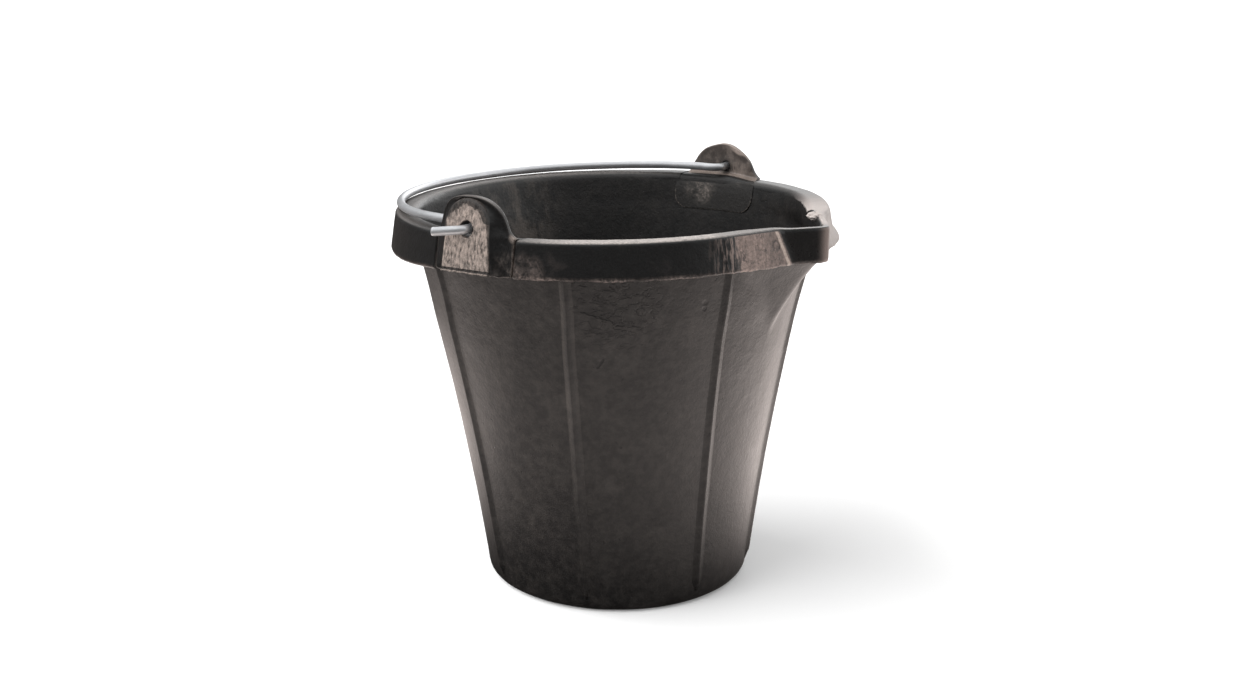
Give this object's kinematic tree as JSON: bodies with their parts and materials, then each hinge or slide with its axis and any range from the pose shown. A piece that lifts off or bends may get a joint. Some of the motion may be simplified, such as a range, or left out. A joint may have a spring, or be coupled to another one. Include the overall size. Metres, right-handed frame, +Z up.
{
  "type": "builders bucket",
  "caption": "Black rubber builders bucket with a flared, ribbed wall, thick rim band, pouring spout and a galvanised wire bail that swings in bell-shaped rubber ears.",
  "frame": {"origin": "middle of the foot ring, on the floor that the bucket stands on", "axes": "+Z up, +X towards the pouring spout, the ears on the Y axis with the front ear at -Y"},
  "size_m": [0.3383, 0.36, 0.3065],
  "materials": {
    "body_rubber": "moulded recycled rubber, dull sheen",
    "band_rubber": "moulded recycled rubber with flow marks",
    "ear_rubber": "rough, pebbled and dusty rubber",
    "patch_rubber": "pressed rubber ply, rubbed",
    "galvanised_wire": "bright galvanised wire"
  },
  "bodies": {
    "bucket": {"bucket_body": "body_rubber", "rim_band_spout_side": "band_rubber", "rim_band_bail_side": "band_rubber", "front_ear": "ear_rubber", "rear_ear": "ear_rubber", "front_ear_patch": "patch_rubber", "rear_ear_patch": "patch_rubber"},
    "bail": {"bail": "galvanised_wire"}
  },
  "joints": [
    {"name": "bail_swing", "type": "hinge", "parent": "bucket", "child": "bail", "pos_m": [0, 0, 0.287], "axis": [0, 1, 0], "range_deg": [0, 182]}
  ]
}
